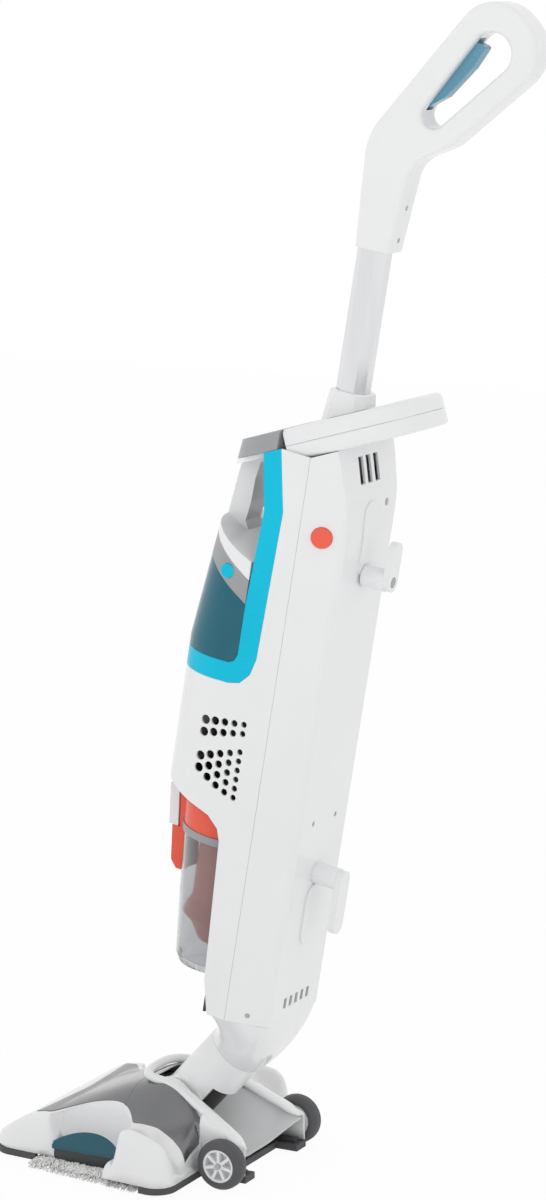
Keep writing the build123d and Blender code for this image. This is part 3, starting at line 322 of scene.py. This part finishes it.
def headHalf(y):
    # half the plan's width: straight flanks with a round corner at each end
    s = headSkin
    flank = np.interp(y, s["flankY"], s["flankX"])
    into = np.clip(s["front"] + s["corner"] - y, 0, s["corner"])
    past = np.clip(y - s["rear"] + s["flankRound"], 0, s["flankRound"])
    front = s["corner"] - np.sqrt(s["corner"] ** 2 - into ** 2)
    rear = s["flankRound"] - np.sqrt(s["flankRound"] ** 2 - past ** 2)
    return flank - front - rear


def slotHalf(y):
    # half the width of the neck's slot, which widens to the rear
    s = headSkin
    return s["slotHalf"] + s["slotGrow"] * np.clip(y - s["slotBend"], 0, None)


def coveAlong(y):
    # 0 in the middle of a cove and 1 at its front and rear ends
    s = headSkin
    return np.abs(y - s["coveY"]) / np.where(y < s["coveY"], s["coveAhead"], s["coveBehind"])


def coveInside(x, y):
    # 0 on the rim of a side cove, growing inwards: a rounded oval in plan, longer to the rear
    s = headSkin
    across = np.abs(np.abs(x) - s["coveX"]) / s["coveReach"]
    return 1 - (coveAlong(y) ** s["covePower"] + across ** s["covePower"]) ** (1 / s["covePower"])


def headTop(x, y):
    # height of the head: a wedge to the crest, a hump at the neck, domes behind, coves at the sides
    s = headSkin
    ahead = s["datum"] - y
    a = np.abs(x)
    climb = np.clip((s["tip"] - ahead) / s["climbLong"], 0, 1) ** s["climbPower"]
    drop = smoothStep((s["dropFrom"] - ahead) / s["dropLong"])
    spine = s["spineZ"] + s["climb"] * climb - s["drop"] * drop
    wedge = s["wedgeZ"] + s["wedgeSlope"] * (s["tip"] - ahead)
    flank = s["flankZ"] - s["flankDrop"] * smoothStep((s["flankFrom"] - ahead) / s["flankLong"])
    # the lower of wedge and flank, blended softly: -k log(e^(-wedge/k) + e^(-flank/k))
    flank = -s["blend"] * np.logaddexp(-wedge / s["blend"], -flank / s["blend"])
    z = flank + np.clip(spine - flank, 0, None) * np.exp(-(a / s["spineHalf"]) ** 4)
    domeRow = ((ahead - s["domeAt"]) / s["domeLong"]) ** 4
    z = z + s["dome"] * np.exp(-domeRow - ((a - s["domeX"]) / s["domeWide"]) ** 2)
    valleyRow = s["valley"] * smoothStep((s["valleyFrom"] - ahead) / s["valleyLong"])
    z = z - valleyRow * np.exp(-((a - s["valleyX"]) / s["valleyWide"]) ** 2)
    scoop = np.clip(coveInside(x, y) / s["coveWall"], 0, 1)
    return z + np.minimum(s["coveFloor"] - z, 0) * (1 - (1 - scoop) ** 2)


def headSurface(x, y):
    # the top with its edges rounded down to the skirt: each edge eases from 0 to 1 as
    # (1 - (1 - t)^p)^(1/p)
    s = headSkin
    notchFront, notchRear = s["notchY"]
    toRear = smoothStep((y - notchFront) / (notchRear - notchFront))
    shoulder = s["frontShoulder"] + (s["rearShoulder"] - s["frontShoulder"]) * toRear
    inside = np.clip((headHalf(y) - np.abs(x)) / shoulder, 0, 1)
    behind = np.clip((s["rear"] - y) / s["rearRound"], 0, 1)
    behind = np.maximum(behind, 1 - smoothStep((np.abs(x) - s["tailHalf"]) / s["tailFade"]))
    nose = np.clip((y - s["front"]) / s["noseRound"], 0, 1)
    ease = 1.0
    for part in (inside, behind, nose):
        ease = ease * (1 - (1 - part) ** s["roundPower"]) ** (1 / s["roundPower"])
    return s["low"] + (headTop(x, y) - s["low"]) * ease


def buildHeadSkin():
    # rows from nose to rear, crowded at the nose; columns that follow the outline outside the core
    s = headSkin
    notchFront, notchRear = s["notchY"]
    edge = s["notchEdge"]
    crowd = s["noseCrowd"]
    nose = np.linspace(0, s["noseReach"], s["noseRows"]) ** crowd / s["noseReach"] ** (crowd - 1)
    marks = [s["rear"], notchFront, notchFront + edge, notchRear - edge, notchRear]
    even = np.arange(s["front"], s["rear"], s["step"])
    y = np.unique(np.concatenate([even, marks, s["front"] + nose]))
    half = headHalf(y)[:, None]
    inner = np.minimum(s["notchX"], half - s["rimLeast"])
    core = np.linspace(0, 1, s["coreCols"])
    rim = 1 - (1 - np.linspace(0, 1, s["rimCols"])[1:]) ** s["rimCrowd"]
    rim = np.concatenate([[s["rimStart"]], rim])
    right = np.concatenate([core * inner, inner + rim * (half - inner)], axis=1)
    x = np.concatenate([-right[:, :0:-1], right], axis=1)
    y = np.broadcast_to(y[:, None], x.shape)
    outer = np.abs(np.arange(x.shape[1]) - right.shape[1] + 1) >= len(core)
    slack = s["notchSlack"]
    inNotch = outer[None, :] & (y > notchFront + slack) & (y < notchRear - slack)
    z = np.where(inNotch, s["low"], headSurface(x, y))
    inSlot = (np.abs(x) < slotHalf(y)) & (y > s["slotFront"])
    keep = ~allCorners(inSlot) & ~allCorners(inNotch)
    return gridObject("headSkin", np.stack([x, y, z], axis=-1), keep=keep)


skin = buildHeadSkin()
dress(skin, "white", headSkin["wall"])
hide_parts("head_shell")
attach(skin, "head")
print("head skin:", len(skin.data.polygons), "faces")

# tail fenders beside the trough: the section's points, as shares across and as falls from the crown
fender = {
    "start": 100.0, "end": 151.0, "outer": 66.0, "low": 10.4, "topStart": 66.0, "topEnd": 40.0,
    "topPower": 0.9, "narrowest": 6.0, "rows": 40, "wall": 2.0,
    "across": [0.0, 0.15, 0.35, 0.6, 0.8, 0.92, 1.0, 1.0, 1.0],
    "fall": [3.0, 1.0, 0.0, 0.5, 2.2, 5.0, 10.0, 20.0, 0.0],
}


def buildFender(name, side):
    # a section from the trough's edge over the crown and down the outer wall, carried to the rear
    f = fender
    y = np.linspace(f["start"], f["end"], f["rows"])
    t = (y - f["start"]) / (f["end"] - f["start"])
    crown = f["topStart"] + (f["topEnd"] - f["topStart"]) * t ** f["topPower"]
    inner = np.minimum(slotHalf(y), f["outer"] - f["narrowest"])
    x = inner[:, None] + (f["outer"] - inner)[:, None] * np.array(f["across"])
    z = np.maximum(crown[:, None] - np.array(f["fall"]), f["low"])
    z[:, -1] = f["low"]  # the last point is the wall's foot
    y = np.broadcast_to(y[:, None], x.shape)
    return gridObject(name, np.stack([side * x, y, z], axis=-1), flip=side < 0)


for name, side in (("fenderLeft", 1), ("fenderRight", -1)):
    piece = buildFender(name, side)
    dress(piece, "white", fender["wall"])
    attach(piece, "head")

# trough behind the neck
trough = {
    "start": 58.0, "length": 70.0, "lipReach": 22.0, "floorStart": 27.0, "floorEnd": 13.0,
    "rimY": [58, 102, 151], "rimZ": [80, 62, 37], "rimDrop": 4.0, "bowl": 2.6,
    "besideFender": 5.0, "overlap": 0.5, "rows": 40, "cols": 61, "wall": 1.6,
}


def buildTrough():
    # a scoop: the floor falls to the rear lip and the sides rise to the ridges
    f = trough
    rows, cols = np.linspace(0, 1, f["rows"]), np.linspace(-1, 1, f["cols"])
    t, u = np.meshgrid(rows, cols, indexing="ij")
    y = f["start"] + t * (f["length"] + f["lipReach"] * u ** 2)
    half = np.minimum(slotHalf(y), fender["outer"] - f["besideFender"]) + f["overlap"]
    rim = np.interp(y, f["rimY"], f["rimZ"]) - f["rimDrop"]
    floor = f["floorStart"] + (f["floorEnd"] - f["floorStart"]) * smoothStep(t)
    z = floor + (rim - floor) * np.abs(u) ** f["bowl"]
    return gridObject("headTrough", np.stack([half * u, y, z], axis=-1), flip=True)


piece = buildTrough()
dress(piece, "paleGrey", trough["wall"])
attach(piece, "head")

# rim bead round the neck opening and down the ridges: its left half, the right one mirrors it
bead = {
    "tall": 4.4, "wideFront": 5.0, "wideTail": 9.0, "widenOver": 55, "bluntOver": 6,
    "bluntLeast": 0.02, "count": 150, "sides": 18,
    "path": [(61, 149, 37), (57, 132, 47), (52, 112, 57.5), (47, 90, 69), (41.5, 68, 79),
             (38.5, 48, 85), (37, 33, 87), (31, 22.5, 88), (18, 18, 89.5), (0, 17, 90)],
}


def buildBead():
    # an oval tube, wider at its tails, with blunt ends
    b = bead
    half = np.array(b["path"], dtype=float)
    path = catmull(np.vstack([half, half[-2::-1] * [-1, 1, 1]]), b["count"])
    toEnd = np.minimum(np.arange(b["count"]), np.arange(b["count"])[::-1])
    blunt = np.clip(toEnd / b["bluntOver"] + b["bluntLeast"], 0, 1) ** 0.5
    front = smoothStep(toEnd / b["widenOver"])
    wide = b["wideTail"] + (b["wideFront"] - b["wideTail"]) * front
    rings = tubeAlong(path, wide * blunt, b["tall"] * blunt, b["sides"])
    return gridObject("neckRim", rings, wrapCols=True)


piece = buildBead()
dress(piece, "white")
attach(piece, "head")

# metallic cover panel on the head: guide is its outer edge and inner its edge round the neck's slot
panel = {
    "lift": 0.7, "rim": 1.6, "wall": 1.2,
    "guideY": [-77, -70, -60, -40, 30, 42, 62, 84, 102],
    "guideX": [93, 93, 90, 92, 88, 87, 86, 91, 98],
    "innerY": [14, 16, 19, 25, 40, 60, 84, 102],
    "innerX": [0, 16, 27, 35, 41, 44, 50, 59],
    "traceY": (-90, 110), "traceCount": 401, "coveGap": 1.2, "soften": 4.0,
    "split": 14.0, "frontMid": -68.0, "frontSkew": -8.0, "skewPower": 1.3, "end": 101.0,
    "middleGrid": (70, 121), "armGrid": (80, 60),
}


def panelOuter(at):
    # the panel's edge keeps inside its own guide line and inside the rim of the cove
    s, p = headSkin, panel
    y = np.linspace(*p["traceY"], p["traceCount"])
    power = s["covePower"]
    rim = s["coveX"] - s["coveReach"] * np.clip(1 - coveAlong(y) ** power, 0, 1) ** (1 / power)
    edge = np.minimum(np.interp(y, p["guideY"], p["guideX"]), rim - p["coveGap"])
    return softLine(at, y, edge, p["soften"])


def panelSheet(x, y):
    # lies on the skin, lifted a little, and tucks under at the rim
    p = panel
    lift = np.full(x.shape, p["lift"])
    for part in (np.s_[:, 0], np.s_[:, -1], np.s_[0, :], np.s_[-1, :]):
        lift[part] = -p["rim"]
    return np.stack([x, y, headSurface(x, y) + lift], axis=-1)


def buildPanel():
    # one sheet ahead of the neck and an arm on each side of it; where they meet nothing tucks under
    p = panel
    rows, cols = p["middleGrid"]
    t, u = np.meshgrid(np.linspace(0, 1, rows), np.linspace(-1, 1, cols), indexing="ij")
    row = p["frontMid"] + t * (p["split"] - p["frontMid"])
    skew = p["frontSkew"] * np.abs(u) ** p["skewPower"] * (1 - t) ** 2
    middle = panelSheet(u * panelOuter(row), row + skew)
    middle[-1, :, 2] += p["lift"] + p["rim"]
    rows, cols = p["armGrid"]
    t, u = np.meshgrid(np.linspace(0, 1, rows), np.linspace(0, 1, cols), indexing="ij")
    y = p["split"] + t * (p["end"] - p["split"])
    inner = np.interp(y, p["innerY"], p["innerX"])
    arm = panelSheet(inner + u * (panelOuter(y) - inner), y)
    arm[0, :, 2] += p["lift"] + p["rim"]
    return [gridObject("headPanel", middle), gridObject("panelArmLeft", arm),
            gridObject("panelArmRight", arm * [-1, 1, 1], flip=True)]


sheets = buildPanel()
for piece in sheets:
    dress(piece, "panel", panel["wall"])
    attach(piece, "head")
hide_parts("head_panel")
print("head panel:", [len(piece.data.polygons) for piece in sheets], "faces")

# mop pad: a slim cushion swelled by cloth pressure, then a shaggy fringe
pad = {
    "half": (131.0, 67.0), "height": 7.0, "floorGap": 0.9, "middle": 0.935, "taper": 0.065,
    "around": 160, "section": 13, "squareness": 0.32, "edgeRound": 3.5, "poleShare": 0.02,
    "voxel": 2.7, "pressure": 4.0, "frames": 20, "cap": 2.0, "lowest": 0.3, "ceiling": 8.8,
}


def padTaper(x, y):
    # the pad is narrower to the front: x shrinks by a share that follows y
    return x * (pad["middle"] + pad["taper"] * y / pad["half"][1])


def buildPad():
    # a rounded slab: a squared ring carried over a bulged edge section
    p = pad
    turns = np.linspace(0, 2 * np.pi, p["around"], endpoint=False)
    heights = np.linspace(-np.pi / 2, np.pi / 2, p["section"])
    around, section = np.meshgrid(turns, heights, indexing="xy")
    ringX = np.sign(np.cos(around)) * np.abs(np.cos(around)) ** p["squareness"]
    ringY = np.sign(np.sin(around)) * np.abs(np.sin(around)) ** p["squareness"]
    inset = p["edgeRound"] * (1 - np.cos(section))
    atPole = np.isin(section, heights[[0, -1]])
    scale = np.where(atPole, p["poleShare"], 1.0)  # the first and last ring close the slab
    x = ringX * (p["half"][0] - inset) * scale
    y = ringY * (p["half"][1] - inset) * scale
    z = p["height"] / 2 + p["floorGap"] + p["height"] / 2 * np.sin(section)
    return gridObject("mopPad", np.stack([padTaper(x, y), y, z], axis=-1), wrapCols=True)


def shapedMesh(piece):
    # the piece's mesh as its modifiers leave it, which are then taken off
    graph = bpy.context.evaluated_depsgraph_get()
    mesh = bpy.data.meshes.new_from_object(piece.evaluated_get(graph))
    piece.modifiers.clear()
    return mesh


def pointsOf(mesh):
    flat = np.empty(len(mesh.vertices) * 3)
    mesh.vertices.foreach_get("co", flat)
    return flat.reshape(-1, 3)


def swellPad(piece):
    # even faces, then cloth under pressure; no point moves further than the cap
    p = pad
    remesh = piece.modifiers.new("remesh", "REMESH")
    remesh.mode = "VOXEL"
    remesh.voxel_size = p["voxel"] * mm
    piece.data = shapedMesh(piece)
    before = pointsOf(piece.data)
    cloth = piece.modifiers.new("swell", "CLOTH")
    cloth.settings.use_pressure = True
    cloth.settings.uniform_pressure_force = p["pressure"]
    cloth.settings.effector_weights.gravity = 0
    for step in range(1, p["frames"] + 1):
        scene.frame_set(step)
    swelled = shapedMesh(piece)
    move = pointsOf(swelled) - before
    reach = np.linalg.norm(move, axis=1, keepdims=True)
    move *= np.minimum(1, p["cap"] * mm / np.maximum(reach, 1e-9))
    shaped = before + move
    shaped[:, 2] = np.clip(shaped[:, 2], p["lowest"] * mm, p["ceiling"] * mm)
    swelled.vertices.foreach_set("co", shaped.ravel())
    swelled.polygons.foreach_set("use_smooth", np.ones(len(swelled.polygons), dtype=bool))
    piece.data = swelled
    scene.frame_set(1)


mopPad = buildPad()
swellPad(mopPad)
mopPad.data.materials.clear()
dress(mopPad, "pile")
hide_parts("mop_pad")
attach(mopPad, "head")
print("mop pad:", len(mopPad.data.polygons), "faces")

# yarn ends round the pad's edge; the ledge values are for those that lie under the windows
fringe = {
    "seed": 7, "count": 1900, "length": (7.0, 12.0), "radius": 0.75, "sides": 5, "rings": 6,
    "lowest": 0.5, "edgeZ": (2.0, 7.0), "fan": 0.45, "rooted": 0.25, "wobble": 1.1,
    "wobbleTurn": 1.3, "droopPower": 1.6, "tipLift": (-0.4, 1.2), "tipPower": 4,
    "tipLeast": 0.02, "ledgeShare": 0.34, "ledgeX": (118.0, 131.0), "ledgeY": (-64.0, 27.0),
    "ledgeZ": (7.5, 9.5), "ledgeFan": 0.5, "ledgeDroop": 0.35,
}


def yarnRoots(rng):
    # where each yarn leaves the pad, which way it points, its length and its height there
    f = fringe
    count = f["count"]
    hx, hy = pad["half"]
    ends = np.cumsum([2 * hy, 2 * hx, 2 * hy, 2 * hx])
    along = rng.uniform(0, 4 * (hx + hy), count)
    side = np.searchsorted(ends, along)
    place = along - np.concatenate([[0], ends[:-1]])[side]
    atX, atY = np.full_like(along, hx), np.full_like(along, hy)
    x = np.choose(side, [atX, hx - place, -atX, place - hx])
    y = np.choose(side, [place - hy, atY, hy - place, -atY])
    out = np.choose(side, [0.0, np.pi / 2, np.pi, -np.pi / 2]) + rng.normal(0, f["fan"], count)
    length = rng.uniform(*f["length"], count)
    high = rng.uniform(*f["edgeZ"], count)
    onLedge = rng.uniform(0, 1, count) < f["ledgeShare"]
    hand = np.where(rng.uniform(0, 1, count) < 0.5, -1.0, 1.0)
    x = np.where(onLedge, hand * rng.uniform(*f["ledgeX"], count), x)
    y = np.where(onLedge, rng.uniform(*f["ledgeY"], count), y)
    ledgeOut = np.where(hand > 0, 0.0, np.pi) + rng.normal(0, f["ledgeFan"], count)
    out = np.where(onLedge, ledgeOut, out)
    high = np.where(onLedge, rng.uniform(*f["ledgeZ"], count), high)
    return x, y, out, length, high, onLedge


def buildFringe():
    # bent tubes that droop to the floor, or less far on the ledges, all worked out as arrays
    f = fringe
    n, r, s = f["count"], f["rings"], f["sides"]
    rng = np.random.default_rng(f["seed"])
    x, y, out, length, high, onLedge = yarnRoots(rng)
    t = np.linspace(0, 1, r)
    reach = length[:, None] * (t - f["rooted"])
    sway = rng.normal(0, f["wobble"], (n, 1)) * np.sin(t * np.pi * f["wobbleTurn"])
    cx = x[:, None] + np.cos(out)[:, None] * reach - np.sin(out)[:, None] * sway
    cy = y[:, None] + np.sin(out)[:, None] * reach + np.cos(out)[:, None] * sway
    droop = np.where(onLedge, f["ledgeDroop"], 1.0)[:, None] * t ** f["droopPower"]
    lift = rng.uniform(*f["tipLift"], (n, 1)) * t
    cz = np.maximum(high[:, None] * (1 - droop) + lift, 0) + f["lowest"] + f["radius"]
    turn = np.linspace(0, 2 * np.pi, s, endpoint=False)
    slim = f["radius"] * np.sqrt(np.clip(1 - t ** f["tipPower"], f["tipLeast"], 1))
    offSide = slim[None, :, None] * np.cos(turn)
    offRise = slim[None, :, None] * np.sin(turn)
    px = cx[..., None] - np.sin(out)[:, None, None] * offSide
    py = cy[..., None] + np.cos(out)[:, None, None] * offSide
    pz = cz[..., None] + offRise
    verts = np.stack([padTaper(px, py), py, pz], axis=-1).reshape(-1, 3) * mm
    i, j, k = np.meshgrid(np.arange(n), np.arange(r - 1), np.arange(s), indexing="ij")
    ring = i * r * s + j * s
    here, beside = ring + k, ring + (k + 1) % s
    faces = np.stack([here, beside, beside + s, here + s], axis=-1).reshape(-1, 4)
    return meshObject("mopFringe", verts, faces)


piece = buildFringe()
dress(piece, "pile")
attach(piece, "head")
print("mop fringe:", len(piece.data.polygons), "faces")

# floor, light and camera; a lamp is its name, place, size and power
studio = {
    "floor": (0.95, 0.95, 0.955), "floorShade": 0.995, "floorNoise": 2.0, "floorRough": 0.9,
    "floorGlow": 0.95, "floorHalf": 6000.0, "floorPoints": 9, "floorZ": -0.2,
    "worldLight": 0.88, "white": (1, 1, 1, 1),
    "camera": (3.2203, 1.8360, 1.2452), "turn": (79.688, 0.0, 117.655), "lens": 112.55,
    "sensor": 36, "clipEnd": 50,
    "lamps": [("key", (3.0, 0.3, 2.2), 1.8, 150.0), ("fill", (0.6, 3.2, 1.6), 2.2, 6.0),
              ("front", (1.6, -2.6, 1.8), 2.0, 58.0)],
    "aim": (0.0, 0.15, 0.5),
}


def seenRay(tree):
    # 1 for a ray from the camera, a mirror-like bounce or through clear plastic, else 0
    ray = addNode(tree, "ShaderNodeLightPath")
    direct = addNode(tree, "ShaderNodeMath", operation="MAXIMUM")
    seen = addNode(tree, "ShaderNodeMath", operation="MAXIMUM")
    tree.links.new(ray.outputs["Is Camera Ray"], direct.inputs[0])
    tree.links.new(ray.outputs["Is Transmission Ray"], direct.inputs[1])
    tree.links.new(direct.outputs[0], seen.inputs[0])
    tree.links.new(ray.outputs["Is Glossy Ray"], seen.inputs[1])
    return seen.outputs[0]


def mixInto(tree, output, share, first, second):
    # the output's surface is the first shader, with a share of the second
    mixer = addNode(tree, "ShaderNodeMixShader")
    tree.links.new(share, mixer.inputs[0])
    tree.links.new(first.outputs[0], mixer.inputs[1])
    tree.links.new(second.outputs[0], mixer.inputs[2])
    tree.links.new(mixer.outputs[0], tree.nodes[output].inputs["Surface"])


line = np.linspace(-studio["floorHalf"], studio["floorHalf"], studio["floorPoints"])
u, v = np.meshgrid(line, line)
floor = gridObject("floor", np.stack([u, v, np.full_like(u, studio["floorZ"])], axis=-1))
material, tree, shader = startMaterial("paleFloor")
setInputs(shader, {"Roughness": studio["floorRough"]})
dim = darker(studio["floor"], studio["floorShade"])
spreadInto(tree, shader, "Base Color", noiseOn(tree, studio["floorNoise"]), dim, studio["floor"])
glow = addNode(tree, "ShaderNodeEmission", Strength=1.0)
share = addNode(tree, "ShaderNodeMath", operation="MULTIPLY")
share.inputs[1].default_value = studio["floorGlow"]
tree.links.new(seenRay(tree), share.inputs[0])
mixInto(tree, "Material Output", share.outputs[0], shader, glow)
floor.data.materials.append(material)

world = bpy.data.worlds.new("studio")
scene.world = world
world.use_nodes = True
tree = world.node_tree
plain = tree.nodes["Background"]
setInputs(plain, {"Color": studio["white"], "Strength": studio["worldLight"]})
bright = addNode(tree, "ShaderNodeBackground", Color=studio["white"], Strength=1.0)
mixInto(tree, "World Output", seenRay(tree), plain, bright)

for name, place, size, power in studio["lamps"]:
    lamp = bpy.data.lights.new(name, "AREA")
    lamp.shape = "DISK"
    lamp.size = size
    lamp.energy = power
    holder = bpy.data.objects.new(name, lamp)
    holder.location = place
    # tilted up from straight down, then turned towards the aim
    aim = np.array(studio["aim"]) - np.array(place)
    tilt = math.atan2(math.hypot(aim[0], aim[1]), -aim[2])
    holder.rotation_euler = (tilt, 0, math.atan2(aim[0], -aim[1]))
    scene.collection.objects.link(holder)

lens = bpy.data.cameras.new("camera")
lens.lens = studio["lens"]
lens.sensor_width = studio["sensor"]
lens.clip_end = studio["clipEnd"]
camera = bpy.data.objects.new("camera", lens)
camera.location = studio["camera"]
camera.rotation_euler = tuple(math.radians(a) for a in studio["turn"])
scene.collection.objects.link(camera)
scene.camera = camera
print("studio ready")
